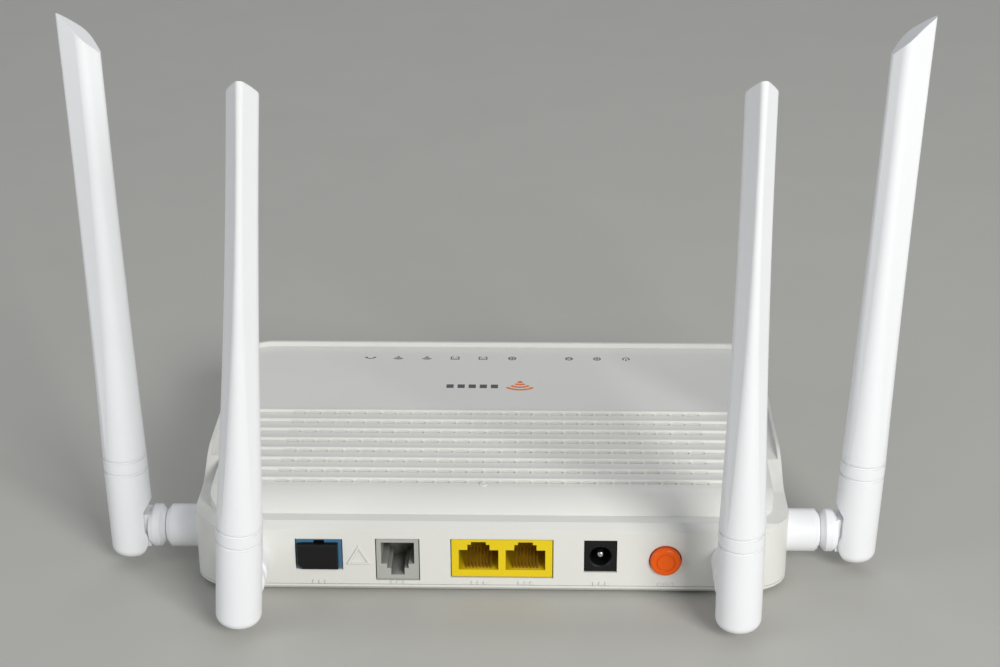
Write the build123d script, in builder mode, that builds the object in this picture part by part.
from build123d import *
import os
from math import cos, degrees, radians, sin, tan

# Optical network terminal. Millimetres. +Z up, z = 0 is the surface it rests on.
# The port panel faces -Y, the indicator edge faces +Y, +X is to the right of a person facing the ports.
# The origin is in the middle of the housing's outline, on the resting plane.

# ---------------------------------------------------------------- driving dimensions
WIDTH = 178.0
DEPTH = 120.0
HEIGHT = 30.0
CORNER_R = 11.0
FOOT_GAP = 1.2          # housing underside above the table
PARTING_Z = 3.4         # joint line between the two covers
WALL = 2.0
FLOOR = 1.5
SEAM = 0.15             # open joint between the covers

PANEL_Z = 28.4          # sunken top panel
RIM_WIDTH = 1.1
LEDGE_Z = 23.6          # low ledge that runs round the port end
PORT_TOP_Z = 21.8       # top edge of the port face, below its chamfer
PORT_CHAMFER = 2.6
PLATEAU_HALF = 84.6     # half width of the raised middle at the port end
PLATEAU_END_Y = -53.4
PLATEAU_CORNER = 6.0
ROLL_R = 12.0           # roll-off from the panel down to the ledge
RAMP_START_Y = -18.0    # the side rims sink from here ...
RAMP_END_Y = -38.0      # ... to here

RIB_COUNT = 8
RIB_PITCH = 6.75
FIRST_RIB_Y = 6.8
RIB_WIDTH = 1.3
RIB_HEIGHT = 0.9
RIB_LENGTH = 160.0
SLOT_COUNT = 27
SLOT_PITCH = 4.9
SLOT_LENGTH = 3.9
SLOT_WIDTH = 1.0

BOARD_TOP = 5.0
BOARD_THICK = 1.6
BOARD_X = 152.0
BOARD_FRONT_Y = 52.0
PORT_Y = -DEPTH / 2     # outer plane of the port face
JACK_SET_BACK = 0.4     # jack faces sit this far inside the port face
CUTOUT_GAP = 0.25       # play round each jack in its cut-out

# ports: middle X, then width, lowest and highest Z of the visible face
FIBRE_X, FIBRE_W, FIBRE_LOW, FIBRE_HIGH = -51.1, 13.6, 8.6, 18.4
MARK_X, MARK_Z, MARK_SIZE = -39.3, 13.0, 7.4
MARK_LINE = 1.3
EMBOSS = 0.3            # height of the raised marks on the port face
BAR_PITCH, BAR_WIDTH, BAR_HEIGHT, BAR_RISE = 1.8, 0.8, 1.2, 0.85
BUTTON_RING_R, BUTTON_RING_WIDTH, BUTTON_RING_DEPTH = 2.7, 0.45, 0.25
PHONE_X, PHONE_W, PHONE_LOW, PHONE_HIGH = -27.7, 12.7, BOARD_TOP, 18.6
LAN_X, LAN_W, LAN_LOW, LAN_HIGH = 3.4, 30.1, 6.1, 18.7
LAN_PITCH = 13.97
DC_X, DC_W, DC_LOW, DC_HIGH = 32.7, 9.3, 8.3, 18.6
DC_HOLE_Z, DC_HOLE_R, DC_PIN_R, DC_HOLE_DEPTH = 13.2, 3.15, 1.0, 9.0
BUTTON_X, BUTTON_Z, BUTTON_R, BUTTON_PROUD = 52.0, 12.4, 4.55, 1.8
BUTTON_GAP = 0.3

# antennas
AXIS_Z = 12.4           # height of the four connector axes
REACH = 21.6            # housing face to antenna axis
OUTER_Y = -40.6         # outer pair, on the side walls
INNER_X = 72.0          # inner pair, on the port face
BARREL_R = 6.5
BARREL_LENGTH = 10.6
RING_WIDTH = 5.2
GROOVE_R = 4.6
SPIN_GAP = 0.15
SHELL_R = 6.65
SHELL_BELOW = 8.8       # connector axis down to the rounded end
SHELL_PEAK = 160.3      # connector axis up to the highest point
PIN_DROP = 3.4          # hinge pin below the connector axis
PIN_R = 1.5
PIN_CLEARANCE = 0.05
SWEEP_R = SHELL_BELOW - PIN_DROP    # rounded end about the hinge pin
TONGUE_HALF = 3.2
SLOT_HALF = 3.4
SPIGOT_R = 3.0
SPIGOT_CLEARANCE = 0.08
LEAD_R = 0.7
NECK_R = 5.0            # bushing neck through the housing wall
FLANGE_R = 5.8          # bushing lip inside the housing wall
FLANGE_WIDTH = 1.2

INDICATOR_PITCH = 9.8
INDICATOR_X = [INDICATOR_PITCH * step for step in (-4.5, -3.5, -2.5, -1.5, -0.5, 0.5, 2.5, 3.5, 4.5)]
INDICATOR_Z = 15.0
GUIDE_R = 1.0
RESET_Y, RESET_Z, RESET_R = 39.0, 8.5, 0.8

os.makedirs("parts", exist_ok=True)


def write(piece, name):
    """Label one finished piece and write it as its own STEP file."""
    piece.label = name
    export_step(piece, f"parts/{name}.step")


def box_between(low, high):
    """A box in the running builder from its lowest corner to its highest."""
    middle = tuple((a + b) / 2 for a, b in zip(low, high))
    with Locations(middle):
        Box(high[0] - low[0], high[1] - low[1], high[2] - low[2])


# ---------------------------------------------------------------- top cover
# The side profile of the outer form: flat ledge at the port end, an S-shaped rise, then the full height.
RAMP_MID_Y = (RAMP_START_Y + RAMP_END_Y) / 2
RAMP_MID_Z = (HEIGHT + LEDGE_Z) / 2
COVER_LOW = PARTING_Z + SEAM / 2
CEILING_Z = PANEL_Z - WALL
LEDGE_CEILING_Z = LEDGE_Z - WALL
BOSS_X, BOSS_Y, BOSS_R = 80.5, 49.5, 3.2
PILOT_R = 1.1
ROLL_ANGLE = 52.0       # how far the roll-off turns before it meets the ledge
ROLL_START_Y = PLATEAU_END_Y + ROLL_R * sin(radians(ROLL_ANGLE))

with BuildPart() as top_cover:
    # outer form up to the rim, from its side profile
    with BuildSketch(Plane.YZ.offset(-WIDTH / 2)):
        with BuildLine():
            port_low = (PORT_Y, COVER_LOW)
            Polyline(port_low, (PORT_Y, PORT_TOP_Z), (PORT_Y + PORT_CHAMFER, LEDGE_Z), (RAMP_END_Y, LEDGE_Z))
            Spline(
                (RAMP_END_Y, LEDGE_Z), (RAMP_MID_Y, RAMP_MID_Z), (RAMP_START_Y, HEIGHT),
                tangents=[(1, 0), (1, 0)],
            )
            Polyline((RAMP_START_Y, HEIGHT), (DEPTH / 2, HEIGHT), (DEPTH / 2, COVER_LOW), port_low)
        make_face()
    extrude(amount=WIDTH)
    with BuildSketch(Plane.XY):
        RectangleRounded(WIDTH, DEPTH, CORNER_R)
    extrude(amount=HEIGHT, mode=Mode.INTERSECT)
    # sunken panel inside the rim
    with BuildSketch(Plane.XY.offset(PANEL_Z)):
        with Locations((0, (RAMP_END_Y + DEPTH / 2) / 2 - RIM_WIDTH / 2)):
            Rectangle(WIDTH - 2 * RIM_WIDTH, DEPTH / 2 - RAMP_END_Y - RIM_WIDTH)
        fillet(
            vertices().group_by(Axis.Y)[-1], CORNER_R - RIM_WIDTH
        )
    extrude(amount=HEIGHT, mode=Mode.SUBTRACT)
    # raised middle with its roll-off towards the ports
    with BuildSketch(Plane.YZ.offset(-PLATEAU_HALF)):
        with BuildLine():
            foot_z = PANEL_Z - ROLL_R * (1 - cos(radians(ROLL_ANGLE)))
            half_turn = radians(ROLL_ANGLE / 2)
            mid_roll = (ROLL_START_Y - ROLL_R * sin(half_turn), PANEL_Z - ROLL_R * (1 - cos(half_turn)))
            Line((RAMP_START_Y, LEDGE_Z - 1), (PLATEAU_END_Y, LEDGE_Z - 1))
            Line((PLATEAU_END_Y, LEDGE_Z - 1), (PLATEAU_END_Y, foot_z))
            ThreePointArc((PLATEAU_END_Y, foot_z), mid_roll, (ROLL_START_Y, PANEL_Z))
            Line((ROLL_START_Y, PANEL_Z), (RAMP_START_Y, PANEL_Z))
            Line((RAMP_START_Y, PANEL_Z), (RAMP_START_Y, LEDGE_Z - 1))
        make_face()
    plateau = extrude(amount=2 * PLATEAU_HALF, mode=Mode.PRIVATE)
    with BuildSketch(Plane.XY.offset(LEDGE_Z - 1), mode=Mode.PRIVATE) as plateau_outline:
        with Locations((0, (PLATEAU_END_Y + RAMP_START_Y) / 2)):
            Rectangle(2 * PLATEAU_HALF, RAMP_START_Y - PLATEAU_END_Y)
        fillet(plateau_outline.vertices().group_by(Axis.Y)[0], PLATEAU_CORNER)
    plateau_limit = extrude(plateau_outline.sketch, amount=HEIGHT, mode=Mode.PRIVATE)
    add(plateau & plateau_limit)
    # hollow inside
    with BuildSketch(Plane.XY.offset(COVER_LOW)):
        RectangleRounded(WIDTH - 2 * WALL, DEPTH - 2 * WALL, CORNER_R - WALL)
    extrude(amount=LEDGE_CEILING_Z - COVER_LOW, mode=Mode.SUBTRACT)
    with BuildSketch(Plane.XY.offset(LEDGE_CEILING_Z)):
        with Locations((0, (ROLL_START_Y + DEPTH / 2 - WALL) / 2)):
            Rectangle(2 * (PLATEAU_HALF - WALL - 1), DEPTH / 2 - WALL - ROLL_START_Y)
        fillet(vertices().group_by(Axis.Y)[-1], CORNER_R - WALL)
    extrude(amount=CEILING_Z - LEDGE_CEILING_Z, mode=Mode.SUBTRACT)
    # screw bosses
    with BuildSketch(Plane.XY.offset(PARTING_Z + 0.5)):
        with GridLocations(2 * BOSS_X, 2 * BOSS_Y, 2, 2):
            Circle(BOSS_R)
    extrude(amount=LEDGE_CEILING_Z - PARTING_Z)
    with BuildSketch(Plane.XY.offset(PARTING_Z + 0.5)):
        with GridLocations(2 * BOSS_X, 2 * BOSS_Y, 2, 2):
            Circle(PILOT_R)
    extrude(amount=12, mode=Mode.SUBTRACT)
    # ribs across the panel
    rib_rows = [FIRST_RIB_Y - RIB_PITCH * row for row in range(RIB_COUNT)]
    for rib_y in rib_rows:
        with BuildSketch(Plane.YZ.offset(-RIB_LENGTH / 2)):
            with Locations((rib_y, PANEL_Z + RIB_HEIGHT / 2 - 0.1)):
                RectangleRounded(RIB_WIDTH, RIB_HEIGHT + 0.2, 0.35)
        extrude(amount=RIB_LENGTH)
    # vent slots along the port side of every rib
    slot_middle_y = (rib_rows[0] + rib_rows[-1]) / 2 - (RIB_WIDTH + SLOT_WIDTH) / 2
    with BuildSketch(Plane.XY.offset(CEILING_Z - 1)):
        with Locations((0, slot_middle_y)):
            with GridLocations(SLOT_PITCH, RIB_PITCH, SLOT_COUNT, RIB_COUNT):
                Rectangle(SLOT_LENGTH, SLOT_WIDTH)
    extrude(amount=PANEL_Z - CEILING_Z + 1.2, mode=Mode.SUBTRACT)
    # port cut-outs
    with BuildSketch(Plane.XZ.offset(-PORT_Y + 1)):
        for x, width, low, high in (
            (FIBRE_X, FIBRE_W, FIBRE_LOW, FIBRE_HIGH),
            (PHONE_X, PHONE_W, PHONE_LOW, PHONE_HIGH),
            (LAN_X, LAN_W, LAN_LOW, LAN_HIGH),
            (DC_X, DC_W, DC_LOW, DC_HIGH),
        ):
            with Locations((x, (low + high) / 2)):
                Rectangle(width + 2 * CUTOUT_GAP, high - low + 2 * CUTOUT_GAP)
        with Locations((BUTTON_X, BUTTON_Z)):
            Circle(BUTTON_R + BUTTON_GAP)
    extrude(amount=-(WALL + 2), mode=Mode.SUBTRACT)
    # windows of the light guide, and the reset pinhole in the left side
    with BuildSketch(Plane.XZ.offset(-DEPTH / 2 - 1)):
        with Locations([(x, INDICATOR_Z) for x in INDICATOR_X]):
            Circle(GUIDE_R + 0.1)
    extrude(amount=WALL + 2, mode=Mode.SUBTRACT)
    with BuildSketch(Plane.YZ.offset(-WIDTH / 2 - 1)):
        with Locations((RESET_Y, RESET_Z)):
            Circle(RESET_R)
    extrude(amount=WALL + 2, mode=Mode.SUBTRACT)
    # holes for the antenna bushings: two through the port face, one through each side
    with BuildSketch(Plane.XZ.offset(-PORT_Y + 1)):
        with Locations((-INNER_X, AXIS_Z), (INNER_X, AXIS_Z)):
            Circle(NECK_R + 0.05)
    extrude(amount=-(WALL + 2), mode=Mode.SUBTRACT)
    with BuildSketch(Plane.YZ.offset(-WIDTH / 2 - 1)):
        with Locations((OUTER_Y, AXIS_Z)):
            Circle(NECK_R + 0.05)
    extrude(amount=WALL + 2, mode=Mode.SUBTRACT)
    with BuildSketch(Plane.YZ.offset(WIDTH / 2 + 1)):
        with Locations((OUTER_Y, AXIS_Z)):
            Circle(NECK_R + 0.05)
    extrude(amount=-(WALL + 2), mode=Mode.SUBTRACT)
    # plain raised triangle and three short raised bars under each port
    with BuildSketch(Plane.XZ.offset(-PORT_Y)):
        with Locations((MARK_X, MARK_Z - 0.6)):
            RegularPolygon(MARK_SIZE * 0.57, 3, rotation=90)
            RegularPolygon(MARK_SIZE * 0.57 - MARK_LINE, 3, rotation=90, mode=Mode.SUBTRACT)
        for x in (FIBRE_X, PHONE_X, LAN_X - LAN_PITCH / 2, LAN_X + LAN_PITCH / 2, DC_X, BUTTON_X):
            with Locations((x, PARTING_Z + BAR_RISE)):
                with GridLocations(BAR_PITCH, 1, 3, 1):
                    SlotOverall(BAR_HEIGHT, BAR_WIDTH, rotation=90)
    extrude(amount=EMBOSS)
write(top_cover.part, "top_cover")

# ---------------------------------------------------------------- bottom cover
FOOT_X, FOOT_Y, FOOT_R, FOOT_RECESS = 68.0, 44.0, 5.0, 0.6
KEYHOLE_SPACING, KEYHOLE_R, KEYHOLE_SLOT_R, KEYHOLE_RISE = 90.0, 3.8, 1.9, 6.5
BOARD_SCREW_X, BOARD_SCREW_Y = 70.0, 30.0
FLOOR_TOP = FOOT_GAP + FLOOR
LIP_TOP = PARTING_Z + 2.0
LIP_GAP = 0.12
UNDER_CHAMFER = 1.4
BOARD_BOTTOM = BOARD_TOP - BOARD_THICK
BOARD_BOSS_R, BOARD_PILOT_R = 3.0, 0.9
SCREW_HEAD_R, SCREW_HEAD_HEIGHT, SCREW_SINK, SCREW_LENGTH = 2.6, 0.8, 0.2, 9.0
CROSS_LENGTH, CROSS_WIDTH, CROSS_DEPTH = 2.8, 0.6, 0.5
BASE_SLOT_LENGTH, BASE_SLOT_WIDTH, BASE_SLOT_PITCH, BASE_SLOT_ROWS = 14.0, 2.0, 6.0, 20.0
BASE_SLOT_COUNT = 11
BASE_FIELDS_Y = (24.0, -26.0)
LABEL_WIDTH, LABEL_DEPTH, LABEL_THICK = 62.0, 6.0, 0.12

with BuildPart() as bottom_cover:
    with BuildSketch(Plane.XY.offset(FOOT_GAP)):
        RectangleRounded(WIDTH, DEPTH, CORNER_R)
    extrude(amount=PARTING_Z - SEAM / 2 - FOOT_GAP)
    chamfer(bottom_cover.faces().sort_by(Axis.Z)[0].edges(), UNDER_CHAMFER)
    with BuildSketch(Plane.XY.offset(FLOOR_TOP)):
        RectangleRounded(WIDTH - 2 * WALL, DEPTH - 2 * WALL, CORNER_R - WALL)
    extrude(amount=5, mode=Mode.SUBTRACT)
    # lip that locates the top cover, left out in front of the ports
    with BuildSketch(Plane.XY.offset(FLOOR_TOP)):
        inner_width = WIDTH - 2 * WALL - 2 * LIP_GAP
        inner_depth = DEPTH - 2 * WALL - 2 * LIP_GAP
        RectangleRounded(inner_width, inner_depth, CORNER_R - WALL)
        RectangleRounded(inner_width - 2, inner_depth - 2, CORNER_R - WALL - 1, mode=Mode.SUBTRACT)
        with Locations((0, PORT_Y)):
            Rectangle(2 * BOARD_SCREW_X + 20, 10, mode=Mode.SUBTRACT)
    extrude(amount=LIP_TOP - FLOOR_TOP)
    # bosses: four towards the cover screws, four under the circuit board
    with BuildSketch(Plane.XY.offset(FLOOR_TOP)):
        with GridLocations(2 * BOSS_X, 2 * BOSS_Y, 2, 2):
            Circle(BOSS_R)
        with GridLocations(2 * BOARD_SCREW_X, 2 * BOARD_SCREW_Y, 2, 2):
            Circle(BOARD_BOSS_R)
    extrude(amount=BOARD_BOTTOM - FLOOR_TOP)
    with Locations(Plane.XY.offset(FOOT_GAP)):
        with GridLocations(2 * BOSS_X, 2 * BOSS_Y, 2, 2):
            with Locations(Location((0, 0, 0), (180, 0, 0))):
                CounterBoreHole(radius=1.5, counter_bore_radius=2.8, counter_bore_depth=1.0, depth=6)
    with BuildSketch(Plane.XY.offset(FOOT_GAP + 0.5)):
        with GridLocations(2 * BOARD_SCREW_X, 2 * BOARD_SCREW_Y, 2, 2):
            Circle(BOARD_PILOT_R)
    extrude(amount=5, mode=Mode.SUBTRACT)
    # wall keyholes: a round entry, and a slot above it that runs towards the indicator edge
    with BuildSketch(Plane.XY.offset(FOOT_GAP)):
        with Locations((-KEYHOLE_SPACING / 2, 0), (KEYHOLE_SPACING / 2, 0)):
            Circle(KEYHOLE_R)
        for x in (-KEYHOLE_SPACING / 2, KEYHOLE_SPACING / 2):
            with Locations((x, KEYHOLE_RISE / 2)):
                SlotOverall(KEYHOLE_RISE + 2 * KEYHOLE_SLOT_R, 2 * KEYHOLE_SLOT_R, rotation=90)
    extrude(amount=FLOOR, mode=Mode.SUBTRACT)
    # cooling slots in two fields
    with BuildSketch(Plane.XY.offset(FOOT_GAP)):
        with Locations([(0, y) for y in BASE_FIELDS_Y]):
            with GridLocations(BASE_SLOT_PITCH, BASE_SLOT_ROWS, BASE_SLOT_COUNT, 2):
                SlotOverall(BASE_SLOT_LENGTH, BASE_SLOT_WIDTH, rotation=90)
    extrude(amount=FLOOR, mode=Mode.SUBTRACT)
    # recesses for the feet
    with BuildSketch(Plane.XY.offset(FOOT_GAP)):
        with GridLocations(2 * FOOT_X, 2 * FOOT_Y, 2, 2):
            Circle(FOOT_R + 0.1)
    extrude(amount=FOOT_RECESS, mode=Mode.SUBTRACT)
write(bottom_cover.part, "bottom_cover")

with BuildPart() as rubber_feet:
    with BuildSketch(Plane.XY):
        with GridLocations(2 * FOOT_X, 2 * FOOT_Y, 2, 2):
            Circle(FOOT_R)
    extrude(amount=FOOT_GAP + FOOT_RECESS)
    chamfer(rubber_feet.faces().group_by(Axis.Z)[0].edges(), 0.4)
write(rubber_feet.part, "rubber_feet")

with BuildPart() as cover_screws:
    with BuildSketch(Plane.XY.offset(FOOT_GAP + SCREW_SINK)):
        with GridLocations(2 * BOSS_X, 2 * BOSS_Y, 2, 2):
            Circle(SCREW_HEAD_R)
    extrude(amount=SCREW_HEAD_HEIGHT)
    with BuildSketch(Plane.XY.offset(FOOT_GAP + SCREW_SINK + SCREW_HEAD_HEIGHT)):
        with GridLocations(2 * BOSS_X, 2 * BOSS_Y, 2, 2):
            Circle(PILOT_R)
    extrude(amount=SCREW_LENGTH)
    with BuildSketch(Plane.XY.offset(FOOT_GAP + SCREW_SINK)):
        with GridLocations(2 * BOSS_X, 2 * BOSS_Y, 2, 2):
            Rectangle(CROSS_LENGTH, CROSS_WIDTH)
            Rectangle(CROSS_WIDTH, CROSS_LENGTH)
    extrude(amount=CROSS_DEPTH, mode=Mode.SUBTRACT)
write(cover_screws.part, "cover_screws")

with BuildPart() as rating_label:
    with BuildSketch(Plane.XY.offset(FOOT_GAP - LABEL_THICK)):
        RectangleRounded(LABEL_WIDTH, LABEL_DEPTH, 1)
    extrude(amount=LABEL_THICK)
write(rating_label.part, "rating_label")

# ---------------------------------------------------------------- circuit board and what it carries
BOARD_BACK_Y = PORT_Y + WALL + 0.4


def on_board(low_x, high_x, low_y, high_y, height, name, edge=0.4, base=BOARD_TOP):
    """A plain block that stands on the board, with broken top edges."""
    with BuildPart() as block:
        box_between((low_x, low_y, base), (high_x, high_y, base + height))
        chamfer(block.faces().sort_by(Axis.Z)[-1].edges(), edge)
    write(block.part, name)


with BuildPart() as main_board:
    with BuildSketch(Plane.XY.offset(BOARD_BOTTOM)):
        with Locations((0, (BOARD_BACK_Y + BOARD_FRONT_Y) / 2)):
            RectangleRounded(BOARD_X, BOARD_FRONT_Y - BOARD_BACK_Y, 2)
        with GridLocations(2 * BOARD_SCREW_X, 2 * BOARD_SCREW_Y, 2, 2):
            Circle(1.3, mode=Mode.SUBTRACT)
    extrude(amount=BOARD_THICK)
write(main_board.part, "main_board")

with BuildPart() as board_screws:
    with BuildSketch(Plane.XY.offset(BOARD_TOP)):
        with GridLocations(2 * BOARD_SCREW_X, 2 * BOARD_SCREW_Y, 2, 2):
            Circle(2.4)
    extrude(amount=1.3)
    fillet(board_screws.faces().group_by(Axis.Z)[-1].edges(), 0.6)
    with BuildSketch(Plane.XY.offset(FOOT_GAP + 0.6)):
        with GridLocations(2 * BOARD_SCREW_X, 2 * BOARD_SCREW_Y, 2, 2):
            Circle(BOARD_PILOT_R)
    extrude(amount=BOARD_TOP - FOOT_GAP - 0.6)
    with BuildSketch(Plane.XY.offset(BOARD_TOP + 0.7)):
        with GridLocations(2 * BOARD_SCREW_X, 2 * BOARD_SCREW_Y, 2, 2):
            Rectangle(2.6, 0.5)
            Rectangle(0.5, 2.6)
    extrude(amount=1, mode=Mode.SUBTRACT)
write(board_screws.part, "board_screws")


def shield_can(x, y, width, depth, name):
    """A drawn metal can, open underneath, with a row of cooling holes in its lid."""
    height, sheet = CAN_HEIGHT, CAN_SHEET
    with BuildPart() as can:
        with BuildSketch(Plane.XY.offset(BOARD_TOP)):
            with Locations((x, y)):
                RectangleRounded(width, depth, 1.0)
        extrude(amount=height)
        with BuildSketch(Plane.XY.offset(BOARD_TOP)):
            with Locations((x, y)):
                RectangleRounded(width - 2 * sheet, depth - 2 * sheet, 0.75)
        extrude(amount=height - sheet, mode=Mode.SUBTRACT)
        with BuildSketch(Plane.XY.offset(BOARD_TOP + height - 2 * sheet)):
            with Locations((x, y - depth / 2 + 2.5)):
                with GridLocations(3.0, 1, int(width / 3) - 2, 1):
                    Circle(0.6)
        extrude(amount=1, mode=Mode.SUBTRACT)
    write(can.part, name)


CAN_HEIGHT, CAN_SHEET = 3.2, 0.25
SINK_BASE, FIN_HEIGHT, FIN_THICK, FIN_PITCH, FIN_COUNT = 1.6, 6.8, 1.2, 3.6, 9
SINK_HALF_X, SINK_HALF_Y = 15.0, 12.0
CPU_X, CPU_Y, RADIO_X, RADIO_Y = -14.0, 2.0, 36.0, 8.0
shield_can(CPU_X, CPU_Y, 44, 34, "processor_shield")
shield_can(RADIO_X, RADIO_Y, 40, 30, "radio_shield")
on_board(CPU_X - 8, CPU_X + 8, CPU_Y - 8, CPU_Y + 8, 1.4, "gateway_processor", 0.3)

with BuildPart() as heat_sink:
    sink_z = BOARD_TOP + CAN_HEIGHT
    box_between(
        (CPU_X - SINK_HALF_X, CPU_Y - SINK_HALF_Y, sink_z),
        (CPU_X + SINK_HALF_X, CPU_Y + SINK_HALF_Y, sink_z + SINK_BASE),
    )
    with Locations((CPU_X, CPU_Y, sink_z + SINK_BASE + FIN_HEIGHT / 2)):
        with GridLocations(FIN_PITCH, 1, FIN_COUNT, 1):
            Box(FIN_THICK, 2 * SINK_HALF_Y, FIN_HEIGHT)
write(heat_sink.part, "heat_sink")

with BuildPart() as memory_chips:
    box_between((CPU_X + 11, CPU_Y - 6, BOARD_TOP), (CPU_X + 19, CPU_Y + 7, BOARD_TOP + 1.1))
    box_between((CPU_X - 19, CPU_Y - 5, BOARD_TOP), (CPU_X - 11, CPU_Y + 1, BOARD_TOP + 1.6))
write(memory_chips.part, "memory_chips")

with BuildPart() as radio_chips:
    with Locations((RADIO_X, RADIO_Y, BOARD_TOP + 0.5)):
        with GridLocations(19, 1, 2, 1):
            Box(10, 10, 1.0)
write(radio_chips.part, "radio_chips")

on_board(-38, -29, -30, -21, 1.5, "phone_line_chip", 0.2)

with BuildPart() as lan_transformers:
    for x in (LAN_X - 8, LAN_X + 8):
        box_between((x - 6.5, -36, BOARD_TOP), (x + 6.5, -27, BOARD_TOP + 5.5))
    chamfer(lan_transformers.faces().group_by(Axis.Z)[-1].edges(), 0.5)
write(lan_transformers.part, "lan_transformers")

with BuildPart() as supply_capacitors:
    with BuildSketch(Plane.XY.offset(BOARD_TOP)):
        with Locations((62, -30), (62, -21), (50, -28)):
            Circle(3.15)
    extrude(amount=11)
    fillet(supply_capacitors.faces().group_by(Axis.Z)[-1].edges(), 0.8)
write(supply_capacitors.part, "supply_capacitors")

with BuildPart() as supply_inductors:
    for x, y in ((36, -28), (62, -10)):
        box_between((x - 4, y - 4, BOARD_TOP), (x + 4, y + 4, BOARD_TOP + 4))
    fillet(supply_inductors.edges().filter_by(Axis.Z), 1.2)
write(supply_inductors.part, "supply_inductors")

with BuildPart() as crystals:
    for x, y in ((CPU_X - 28, CPU_Y), (RADIO_X, -14)):
        with Locations((x, y, BOARD_TOP + 1.3)):
            Box(5, 3.2, 2.6)
    fillet(crystals.edges().filter_by(Axis.Z), 1.2)
write(crystals.part, "crystals")

with BuildPart() as reset_switch:
    box_between((-75.5, RESET_Y - 3, BOARD_TOP), (-72, RESET_Y + 3, BOARD_TOP + 6))
    with BuildSketch(Plane.YZ.offset(-75.5)):
        with Locations((RESET_Y, RESET_Z)):
            Circle(1.4)
    extrude(amount=-1.5)
write(reset_switch.part, "reset_switch")

# ---------------------------------------------------------------- indicators
LED_Y = BOARD_FRONT_Y - 3.0
with BuildPart() as indicator_lamps:
    with Locations([(x, LED_Y, BOARD_TOP + 0.5) for x in INDICATOR_X]):
        Box(2.0, 1.6, 1.0)
write(indicator_lamps.part, "indicator_lamps")

with BuildPart() as light_guide:
    for x in INDICATOR_X:
        box_between((x - 1.1, LED_Y - 1.2, BOARD_TOP + 1.3), (x + 1.1, LED_Y + 1.2, INDICATOR_Z + 1.2))
        with BuildSketch(Plane.XZ.offset(-LED_Y)):
            with Locations((x, INDICATOR_Z)):
                Circle(GUIDE_R)
        extrude(amount=-(DEPTH / 2 - LED_Y + 0.2))
    box_between(
        (INDICATOR_X[0], LED_Y - 1.2, INDICATOR_Z - 2.2), (INDICATOR_X[-1], LED_Y + 1.2, INDICATOR_Z + 1.2)
    )
write(light_guide.part, "light_guide")

# ---------------------------------------------------------------- fibre port
JACK_FACE_Y = PORT_Y + JACK_SET_BACK
FIBRE_Z = (FIBRE_LOW + FIBRE_HIGH) / 2
FIBRE_DEPTH = 22.0
SOCKET_W, SOCKET_H, SOCKET_DEPTH = 11.0, 7.6, 16.0
SLEEVE_R = 1.6
CAP_W, CAP_H, CAP_HEAD = 12.2, 8.4, 1.6


def jack_block(x, width, low, high, depth):
    """A jack's outer block in the running builder: a nose in the cut-out, and a body down to the board."""
    nose_end_y = PORT_Y + WALL + 0.2
    box_between((x - width / 2, JACK_FACE_Y, low), (x + width / 2, nose_end_y, high))
    box_between((x - width / 2, nose_end_y, BOARD_TOP), (x + width / 2, JACK_FACE_Y + depth, high))


with BuildPart() as fibre_receptacle:
    jack_block(FIBRE_X, FIBRE_W, FIBRE_LOW, FIBRE_HIGH, FIBRE_DEPTH)
    with BuildSketch(Plane.XZ.offset(-JACK_FACE_Y)):
        with Locations((FIBRE_X, FIBRE_Z)):
            Rectangle(SOCKET_W, SOCKET_H)
        with Locations((FIBRE_X, FIBRE_Z + SOCKET_H / 2)):
            Rectangle(3.2, 1.6)
    extrude(amount=-SOCKET_DEPTH, mode=Mode.SUBTRACT)
    with BuildSketch(Plane.XZ.offset(-JACK_FACE_Y)):
        with Locations((FIBRE_X, FIBRE_Z)):
            Circle(SLEEVE_R + 0.05)
    extrude(amount=-FIBRE_DEPTH, mode=Mode.SUBTRACT)
write(fibre_receptacle.part, "fibre_receptacle")

with BuildPart() as alignment_sleeve:
    with BuildSketch(Plane.XZ.offset(-(JACK_FACE_Y + FIBRE_DEPTH))):
        with Locations((FIBRE_X, FIBRE_Z)):
            Circle(SLEEVE_R)
            Circle(0.63, mode=Mode.SUBTRACT)
    extrude(amount=12)
write(alignment_sleeve.part, "alignment_sleeve")

with BuildPart() as optical_module:
    module_y = JACK_FACE_Y + FIBRE_DEPTH
    with BuildSketch(Plane.XZ.offset(-module_y)):
        with Locations((FIBRE_X, FIBRE_Z)):
            Circle(3.0)
    extrude(amount=-4.0)
    box_between(
        (FIBRE_X - 3.6, module_y + 4.0, FIBRE_Z - 3.6), (FIBRE_X + 3.6, module_y + 11.0, FIBRE_Z + 3.6)
    )
    with BuildSketch(Plane.XZ.offset(-(module_y + 11.0))):
        with Locations((FIBRE_X, FIBRE_Z)):
            Circle(2.8)
    extrude(amount=-3.5)
    with BuildSketch(Plane.YZ.offset(FIBRE_X + 3.6)):
        with Locations((module_y + 7.5, FIBRE_Z)):
            Circle(2.7)
    extrude(amount=3.0)
    for step in (-1, 1):
        x, y = FIBRE_X + step * 1.3, module_y + 12.5
        box_between((x - 0.25, y - 0.25, BOARD_TOP), (x + 0.25, y + 0.25, FIBRE_Z - 2.2))
write(optical_module.part, "optical_module")

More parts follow.
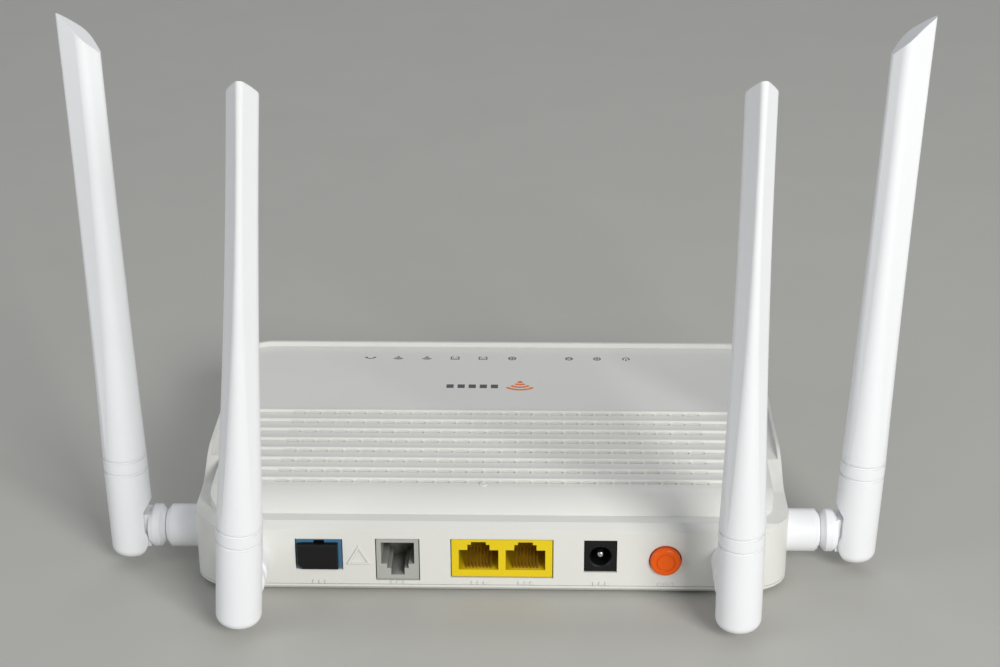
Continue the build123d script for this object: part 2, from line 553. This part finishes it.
with BuildPart() as dust_cap:
    with BuildSketch(Plane.XZ.offset(-JACK_FACE_Y)):
        with Locations((FIBRE_X - 0.4, FIBRE_Z - 0.5)):
            Rectangle(CAP_W, CAP_H)
        chamfer(vertices().group_by(Axis.Z)[0].sort_by(Axis.X)[0], 1.6)
    extrude(amount=CAP_HEAD)
    fillet(dust_cap.faces().sort_by(Axis.Y)[0].edges(), 0.5)
    with BuildSketch(Plane.XZ.offset(-JACK_FACE_Y)):
        with Locations((FIBRE_X, FIBRE_Z)):
            RectangleRounded(SOCKET_W - 0.5, SOCKET_H - 0.5, 0.6)
    extrude(amount=-9.0)
    with BuildSketch(Plane.XZ.offset(-(JACK_FACE_Y + 9.0))):
        with Locations((FIBRE_X, FIBRE_Z)):
            Circle(SLEEVE_R + 0.9)
    extrude(amount=8.0, mode=Mode.SUBTRACT)
write(dust_cap.part, "dust_cap")

# ---------------------------------------------------------------- phone jack
PHONE_DEPTH = 17.0
PHONE_SOCKET_DEPTH = 13.0
PHONE_OPEN_LOW, PHONE_OPEN_HIGH = 10.2, 17.4
with BuildPart() as phone_jack:
    jack_block(PHONE_X, PHONE_W, PHONE_LOW, PHONE_HIGH, PHONE_DEPTH)
    with BuildSketch(Plane.XZ.offset(-JACK_FACE_Y)):
        with Locations((PHONE_X, (PHONE_OPEN_LOW + PHONE_OPEN_HIGH) / 2)):
            Rectangle(9.9, PHONE_OPEN_HIGH - PHONE_OPEN_LOW)
        with Locations((PHONE_X, PHONE_OPEN_LOW)):
            Rectangle(6.4, 3.0)
            Rectangle(4.0, 7.4)
    extrude(amount=-PHONE_SOCKET_DEPTH, mode=Mode.SUBTRACT)
write(phone_jack.part, "phone_jack")

with BuildPart() as phone_contacts:
    for step in range(-2, 2):
        x = PHONE_X + (step + 0.5) * 1.02
        with BuildSketch(Plane.YZ.offset(x - 0.2)):
            with BuildLine():
                front_y, back_y = JACK_FACE_Y + 1.0, JACK_FACE_Y + PHONE_SOCKET_DEPTH
                Polyline(
                    (front_y, PHONE_OPEN_HIGH), (back_y, PHONE_OPEN_HIGH - 2.4),
                    (back_y, PHONE_OPEN_HIGH - 2.0), (front_y + 2.0, PHONE_OPEN_HIGH),
                    (front_y, PHONE_OPEN_HIGH),
                )
            make_face()
        extrude(amount=0.4)
write(phone_contacts.part, "phone_contacts")

# ---------------------------------------------------------------- double LAN jack
LAN_DEPTH = 17.5
LAN_OPEN_LOW, LAN_OPEN_HIGH = 8.4, 15.1
LAN_SOCKET_DEPTH = 13.5
LAN_MIDDLES = (LAN_X - LAN_PITCH / 2, LAN_X + LAN_PITCH / 2)

with BuildPart() as lan_jack:
    jack_block(LAN_X, LAN_W, LAN_LOW, LAN_HIGH, LAN_DEPTH)
    with BuildSketch(Plane.XZ.offset(-JACK_FACE_Y)):
        for x in LAN_MIDDLES:
            with Locations((x, (LAN_OPEN_LOW + LAN_OPEN_HIGH) / 2)):
                Rectangle(11.8, LAN_OPEN_HIGH - LAN_OPEN_LOW)
            with Locations((x, LAN_OPEN_HIGH)):
                Rectangle(6.6, 3.6)
                Rectangle(4.4, 5.4)
    extrude(amount=-LAN_SOCKET_DEPTH, mode=Mode.SUBTRACT)
write(lan_jack.part, "lan_jack")

with BuildPart() as lan_contacts:
    contact_back = JACK_FACE_Y + LAN_SOCKET_DEPTH
    for middle in LAN_MIDDLES:
        for step in range(-4, 4):
            x = middle + (step + 0.5) * 1.02
            with BuildSketch(Plane.YZ.offset(x - 0.22)):
                with BuildLine():
                    contact_front = JACK_FACE_Y + 1.0
                    Polyline(
                        (contact_front, LAN_OPEN_LOW), (contact_front + 1.2, LAN_OPEN_LOW),
                        (contact_back, LAN_OPEN_LOW + 5.4), (contact_back, LAN_OPEN_LOW + 5.9),
                        (contact_front, LAN_OPEN_LOW),
                    )
                make_face()
            extrude(amount=0.44)
write(lan_contacts.part, "lan_contacts")

# ---------------------------------------------------------------- DC inlet
DC_DEPTH = 14.0
with BuildPart() as dc_inlet:
    jack_block(DC_X, DC_W, DC_LOW, DC_HIGH, DC_DEPTH)
    with BuildSketch(Plane.XZ.offset(-JACK_FACE_Y)):
        with Locations((DC_X, DC_HOLE_Z)):
            Circle(DC_HOLE_R)
    extrude(amount=-DC_HOLE_DEPTH, mode=Mode.SUBTRACT)
    chamfer(dc_inlet.edges().filter_by(GeomType.CIRCLE).sort_by(Axis.Y)[0], 0.4)
write(dc_inlet.part, "dc_inlet")

with BuildPart() as dc_pin:
    with BuildSketch(Plane.XZ.offset(-(JACK_FACE_Y + DC_HOLE_DEPTH))):
        with Locations((DC_X, DC_HOLE_Z)):
            Circle(DC_PIN_R)
    extrude(amount=DC_HOLE_DEPTH - 1.0)
    fillet(dc_pin.faces().sort_by(Axis.Y)[0].edges(), 0.6)
write(dc_pin.part, "dc_pin")

# ---------------------------------------------------------------- power switch and its button
BUTTON_FACE_Y = PORT_Y - BUTTON_PROUD
BUTTON_BACK_Y = PORT_Y + WALL + 3.4
STEM_R = 2.0
SWITCH_FRONT_Y = BUTTON_BACK_Y + 3.2
with BuildPart() as power_button:
    with BuildSketch(Plane.XZ.offset(-BUTTON_BACK_Y)):
        with Locations((BUTTON_X, BUTTON_Z)):
            Circle(BUTTON_R)
    extrude(amount=BUTTON_BACK_Y - BUTTON_FACE_Y)
    fillet(power_button.faces().sort_by(Axis.Y)[0].edges(), 0.9)
    # shallow ring in the pressing face
    with BuildSketch(Plane.XZ.offset(-BUTTON_FACE_Y)):
        with Locations((BUTTON_X, BUTTON_Z)):
            Circle(BUTTON_RING_R + BUTTON_RING_WIDTH / 2)
            Circle(BUTTON_RING_R - BUTTON_RING_WIDTH / 2, mode=Mode.SUBTRACT)
    extrude(amount=-BUTTON_RING_DEPTH, mode=Mode.SUBTRACT)
    with BuildSketch(Plane.XZ.offset(-(SWITCH_FRONT_Y + 3.0))):
        with Locations((BUTTON_X, BUTTON_Z)):
            Circle(STEM_R)
    extrude(amount=SWITCH_FRONT_Y + 3.0 - BUTTON_BACK_Y)
write(power_button.part, "power_button")

with BuildPart() as power_switch:
    box_between((BUTTON_X - 4.2, SWITCH_FRONT_Y, BOARD_TOP), (BUTTON_X + 4.2, SWITCH_FRONT_Y + 13, 16.6))
    with BuildSketch(Plane.XZ.offset(-SWITCH_FRONT_Y)):
        with Locations((BUTTON_X, BUTTON_Z)):
            Circle(STEM_R + 0.2)
    extrude(amount=-7.0, mode=Mode.SUBTRACT)
write(power_switch.part, "power_switch")

# ---------------------------------------------------------------- antennas
# Each antenna is drawn in its own frame: origin where the connector axis meets the antenna's own axis,
# +Z up the antenna, +X towards the housing. It is then put in place by a Location.
FACE_X = REACH - BARREL_LENGTH - SPIN_GAP - RING_WIDTH      # ring face next to the shell
RING_END_X = FACE_X + RING_WIDTH
BARREL_START_X = REACH - BARREL_LENGTH
STEP_X = 4.7            # flat of the shell beside the ring
SPIGOT_END_X = REACH + WALL + FLANGE_WIDTH
LEAD_HOLE_R = 0.9
TAPER_START_Z = 25.5
TAPER_STEP = 0.08       # the taper starts this much inside the round foot
SHELL_GROOVES = (19.4, 23.8)
GROOVE_WIDTH, GROOVE_DEPTH = 0.7, 0.35
PIN_COVER = 0.9         # shell left over the closed end of the pin's hole
TAPER_MID_Z = 95.0
TAPER_END_Z = 172.0
CAVITY_R = 2.4
CAVITY_TOP = 146.0


def kite(half_back, half_front, half_side, side_x, radii):
    """A rounded kite: its sharp ridge points away from the housing. radii: ridge, sides, front."""
    with BuildSketch(mode=Mode.PRIVATE) as outline:
        Polygon((-half_back, 0), (side_x, -half_side), (half_front, 0), (side_x, half_side), align=None)
        corners = outline.vertices().sort_by(Axis.X)
        fillet(corners[0], radii[0])
        fillet(outline.vertices().sort_by(Axis.X)[-1], radii[2])
        sides = outline.vertices().sort_by(Axis.Y)
        fillet([sides[0], sides[-1]], radii[1])
    return outline.sketch


def antenna_shell(open_side):
    """Clevis foot with a rounded end, tapering into a rounded kite that is cut off at a slant.
    The hinge pin's hole is open on one side only: open_side is 1 for +Y and -1 for -Y."""
    with BuildPart() as shell:
        with BuildSketch(Plane.XY.offset(-SHELL_BELOW)):
            Circle(SHELL_R)
        extrude(amount=TAPER_START_Z + SHELL_BELOW)
        fillet(shell.faces().sort_by(Axis.Z)[0].edges(), 2.8)
        taper_r = SHELL_R - TAPER_STEP
        diamond = taper_r * 2 ** 0.5
        with BuildSketch(Plane.XY.offset(TAPER_START_Z)):
            add(kite(diamond, diamond, diamond, 0, (taper_r - 0.05, taper_r - 0.06, taper_r - 0.05)))
        with BuildSketch(Plane.XY.offset(TAPER_MID_Z)):
            add(kite(7.2, 6.9, 5.6, 1.6, (1.8, 3.2, 2.6)))
        with BuildSketch(Plane.XY.offset(TAPER_END_Z)):
            add(kite(7.4, 6.9, 5.0, 1.8, (1.6, 3.2, 2.2)))
        loft()
        # slanted tip, slightly crowned
        with BuildSketch(Plane.XZ.offset(-12)):
            with BuildLine():
                high, low = (-8.0, SHELL_PEAK + 2.0), (8.0, SHELL_PEAK - 14.4)
                ThreePointArc(high, (0.3, SHELL_PEAK - 4.6), low)
                Polyline(low, (8.0, TAPER_END_Z + 4), (-8.0, TAPER_END_Z + 4), high)
            make_face()
        extrude(amount=24, mode=Mode.SUBTRACT)
        # two shallow grooves
        for groove_z in SHELL_GROOVES:
            with BuildSketch(Plane.XY.offset(groove_z)):
                Circle(SHELL_R + 1)
                Circle(SHELL_R - GROOVE_DEPTH, mode=Mode.SUBTRACT)
            extrude(amount=GROOVE_WIDTH, mode=Mode.SUBTRACT)
        # step beside the ring, slanted at its top, with the end rounded about the hinge pin
        with BuildSketch(Plane.XZ.offset(-12)):
            with BuildLine():
                Polyline(
                    (STEP_X, -PIN_DROP), (STEP_X, 6.2), (9.0, 12.2), (9.0, -PIN_DROP), (STEP_X, -PIN_DROP)
                )
            make_face()
            with Locations((SHELL_R, -PIN_DROP - SHELL_R)):
                Rectangle(2 * SHELL_R, 2 * SHELL_R)
            with Locations((0, -PIN_DROP)):
                Circle(SWEEP_R, mode=Mode.SUBTRACT)
        extrude(amount=24, mode=Mode.SUBTRACT)
        # slot for the tongue
        box_cut_low, box_cut_high = (-2.9, -SLOT_HALF, -SHELL_BELOW - 1), (9.0, SLOT_HALF, 6.0)
        with Locations(tuple((a + b) / 2 for a, b in zip(box_cut_low, box_cut_high))):
            Box(
                *(b - a for a, b in zip(box_cut_low, box_cut_high)),
                mode=Mode.SUBTRACT,
            )
        # room for the radiator, and the hinge pin's hole through one cheek and into the other
        with BuildSketch(Plane.XY.offset(5.9)):
            Circle(CAVITY_R)
        extrude(amount=CAVITY_TOP - 5.9, mode=Mode.SUBTRACT)
        hole_middle = open_side * (1 + PIN_COVER) / 2
        with Locations(Location((0, hole_middle, -PIN_DROP), (90, 0, 0))):
            Cylinder(PIN_R, 2 * SHELL_R + 1 - PIN_COVER, mode=Mode.SUBTRACT)
    return shell.part


def hinge_pin():
    """Steel pin across the foot, its ends just under the shell's surface."""
    length = 2 * (SHELL_R - PIN_COVER)
    with BuildPart() as pin:
        with BuildSketch(Plane.XZ.offset(-length / 2)):
            with Locations((0, -PIN_DROP)):
                Circle(PIN_R)
        extrude(amount=length)
        chamfer(pin.edges().filter_by(GeomType.CIRCLE), 0.2)
    return pin.part


def radiator():
    """Brass dipole sleeve in the shell, with the feed wire above it."""
    with BuildPart() as dipole:
        with BuildSketch(Plane.XY.offset(40)):
            Circle(2.0)
            Circle(1.5, mode=Mode.SUBTRACT)
        extrude(amount=28)
        with BuildSketch(Plane.XY.offset(66)):
            Circle(1.6)
        extrude(amount=2)
        with BuildSketch(Plane.XY.offset(68)):
            Circle(0.6)
        extrude(amount=60)
        with BuildSketch(Plane.XY.offset(128)):
            Circle(2.35)
        extrude(amount=3)
    return dipole.part


def swivel():
    """Double-coned ring with a flat tongue on one side and a hollow spigot on the other."""
    with BuildPart() as body:
        with BuildSketch(Plane.XZ):
            with BuildLine():
                cone = 1.5
                Polyline(
                    (FACE_X, 0), (FACE_X, GROOVE_R + 0.6), (FACE_X + cone, BARREL_R),
                    (RING_END_X - cone, BARREL_R), (RING_END_X, GROOVE_R), (RING_END_X, SPIGOT_R),
                    (SPIGOT_END_X, SPIGOT_R), (SPIGOT_END_X, 0), (FACE_X, 0),
                )
            make_face()
        revolve(axis=Axis.X)
        # tongue round the hinge pin
        with BuildSketch(Plane.XZ.offset(-TONGUE_HALF)):
            with BuildLine():
                top, bottom = 5.1, -PIN_DROP - 2.4
                Polyline((FACE_X + 0.5, bottom), (FACE_X + 0.5, top), (1.2, top), (-2.4, -PIN_DROP + 1.5))
                Line((-2.4, -PIN_DROP + 1.5), (-2.4, -PIN_DROP))
                ThreePointArc((-2.4, -PIN_DROP), (-1.7, -PIN_DROP - 1.7), (0, bottom))
                Line((0, bottom), (FACE_X + 0.5, bottom))
            make_face()
        extrude(amount=2 * TONGUE_HALF)
        with BuildSketch(Plane.XZ.offset(-TONGUE_HALF)):
            with Locations((0, -PIN_DROP)):
                Circle(PIN_R + PIN_CLEARANCE)
        extrude(amount=2 * TONGUE_HALF, mode=Mode.SUBTRACT)
        # passage for the coax lead
        with BuildSketch(Plane.YZ.offset(-3)):
            with Locations((0, 1.6)):
                Circle(LEAD_HOLE_R)
        extrude(amount=SPIGOT_END_X + 4, mode=Mode.SUBTRACT)
    return body.part


def bushing():
    """Barrel on the housing: coned outer end with a stop tab, a neck through the wall and a lip inside."""
    with BuildPart() as barrel:
        with BuildSketch(Plane.XZ):
            with BuildLine():
                bore = SPIGOT_R + SPIGOT_CLEARANCE
                inner_x = REACH + WALL
                Polyline(
                    (BARREL_START_X, bore), (BARREL_START_X, GROOVE_R), (BARREL_START_X + 1.5, BARREL_R),
                    (REACH, BARREL_R), (REACH, NECK_R), (inner_x, NECK_R), (inner_x, FLANGE_R),
                    (inner_x + FLANGE_WIDTH, FLANGE_R), (inner_x + FLANGE_WIDTH, bore),
                    (BARREL_START_X, bore),
                )
            make_face()
        revolve(axis=Axis.X)
        with Locations((BARREL_START_X + 1.0, 0, -BARREL_R + 1.2)):
            Box(1.6, 2.6, 1.4)
    return barrel.part


# name: position of the axis crossing, turn about Z that points +X at the housing, lean of the swivel
# towards +X of the antenna's own side direction, lean of the hinge away from the housing, and the side
# where the pin goes in, which is the one turned away from the ports
OUTER_X = WIDTH / 2 + REACH
INNER_Y = PORT_Y - REACH
ANTENNAS = {
    "outer_left": ((-OUTER_X, OUTER_Y, AXIS_Z), 0, 0.0, 1.3, 1),
    "inner_left": ((-INNER_X, INNER_Y, AXIS_Z), 90, 4.1, 4.8, 1),
    "inner_right": ((INNER_X, INNER_Y, AXIS_Z), 90, -0.7, 4.8, -1),
    "outer_right": ((OUTER_X, OUTER_Y, AXIS_Z), 180, 0.0, 2.3, -1),
}
for name, (place, turn, swivel_lean, hinge_lean, open_side) in ANTENNAS.items():
    base = Location(place, (0, 0, turn))
    turned = base * Location((0, 0, 0), (swivel_lean, 0, 0))
    pin_point = (0, 0, -PIN_DROP)
    tilted = turned * Location(pin_point, (0, -hinge_lean, 0)) * Location((0, 0, PIN_DROP))
    write(bushing().moved(base), f"{name}_bushing")
    write(swivel().moved(turned), f"{name}_swivel")
    write(antenna_shell(open_side).moved(tilted), f"{name}_shell")
    write(hinge_pin().moved(tilted), f"{name}_hinge_pin")
    write(radiator().moved(tilted), f"{name}_radiator")

# ---------------------------------------------------------------- coax leads inside the housing
# Each runs from the inner end of a swivel to a round plug on the board.
LEAD_Z = AXIS_Z + 1.6
PLUG_R, PLUG_HEIGHT, PLUG_LEAD_Z = 1.6, 1.8, BOARD_TOP + 1.1
INNER_LEAD_Y = PORT_Y + WALL + FLANGE_WIDTH + 0.3
OUTER_LEAD_X = WIDTH / 2 - WALL - FLANGE_WIDTH - 0.3
LEAD_ROUTES = {
    "outer_left": [
        (-OUTER_LEAD_X, OUTER_Y, LEAD_Z), (-79.5, OUTER_Y, LEAD_Z), (-75, -35, 10.5),
        (-71, -26, PLUG_LEAD_Z), (-71, -15.6, PLUG_LEAD_Z),
    ],
    "inner_left": [
        (-INNER_X, INNER_LEAD_Y, LEAD_Z), (-INNER_X, -47, LEAD_Z), (-67, -38, 9.5),
        (-64, -29, PLUG_LEAD_Z), (-64, -21.6, PLUG_LEAD_Z),
    ],
    "inner_right": [
        (INNER_X, INNER_LEAD_Y, LEAD_Z), (INNER_X, -47, LEAD_Z), (70.5, -38, 10.5), (69.5, -28, 9.5),
        (68.5, -19, PLUG_LEAD_Z), (68.5, -12, PLUG_LEAD_Z),
    ],
    "outer_right": [
        (OUTER_LEAD_X, OUTER_Y, LEAD_Z), (80.5, OUTER_Y, LEAD_Z), (76.5, -34, 10.5),
        (73.8, -25, PLUG_LEAD_Z), (73.8, -12, PLUG_LEAD_Z),
    ],
}


def corner_radii(points):
    """The largest tangent arc that fits each inner corner of a route."""
    radii = []
    for before, corner, after in zip(points, points[1:], points[2:]):
        first = Vector(*corner) - Vector(*before)
        second = Vector(*after) - Vector(*corner)
        half_turn = radians(first.get_angle(second) / 2)
        radii.append(0.45 * min(first.length, second.length) / tan(half_turn))
    return radii


for name, route in LEAD_ROUTES.items():
    radii = corner_radii(route)
    with BuildPart() as lead:
        with BuildLine():
            path = FilletPolyline(*route, radius=radii)
        with BuildSketch(Plane(origin=path @ 0, z_dir=path % 0)):
            Circle(LEAD_R)
        sweep()
    print(name, "lead length", round(path.length, 1), "radii", [round(radius, 1) for radius in radii])
    write(lead.part, f"{name}_lead")

with BuildPart() as lead_plugs:
    with BuildSketch(Plane.XY.offset(BOARD_TOP)):
        for route in LEAD_ROUTES.values():
            with Locations((route[-1][0], route[-1][1] + PLUG_R)):
                Circle(PLUG_R)
    extrude(amount=PLUG_HEIGHT)
    fillet(lead_plugs.faces().group_by(Axis.Z)[-1].edges(), 0.3)
write(lead_plugs.part, "lead_plugs")
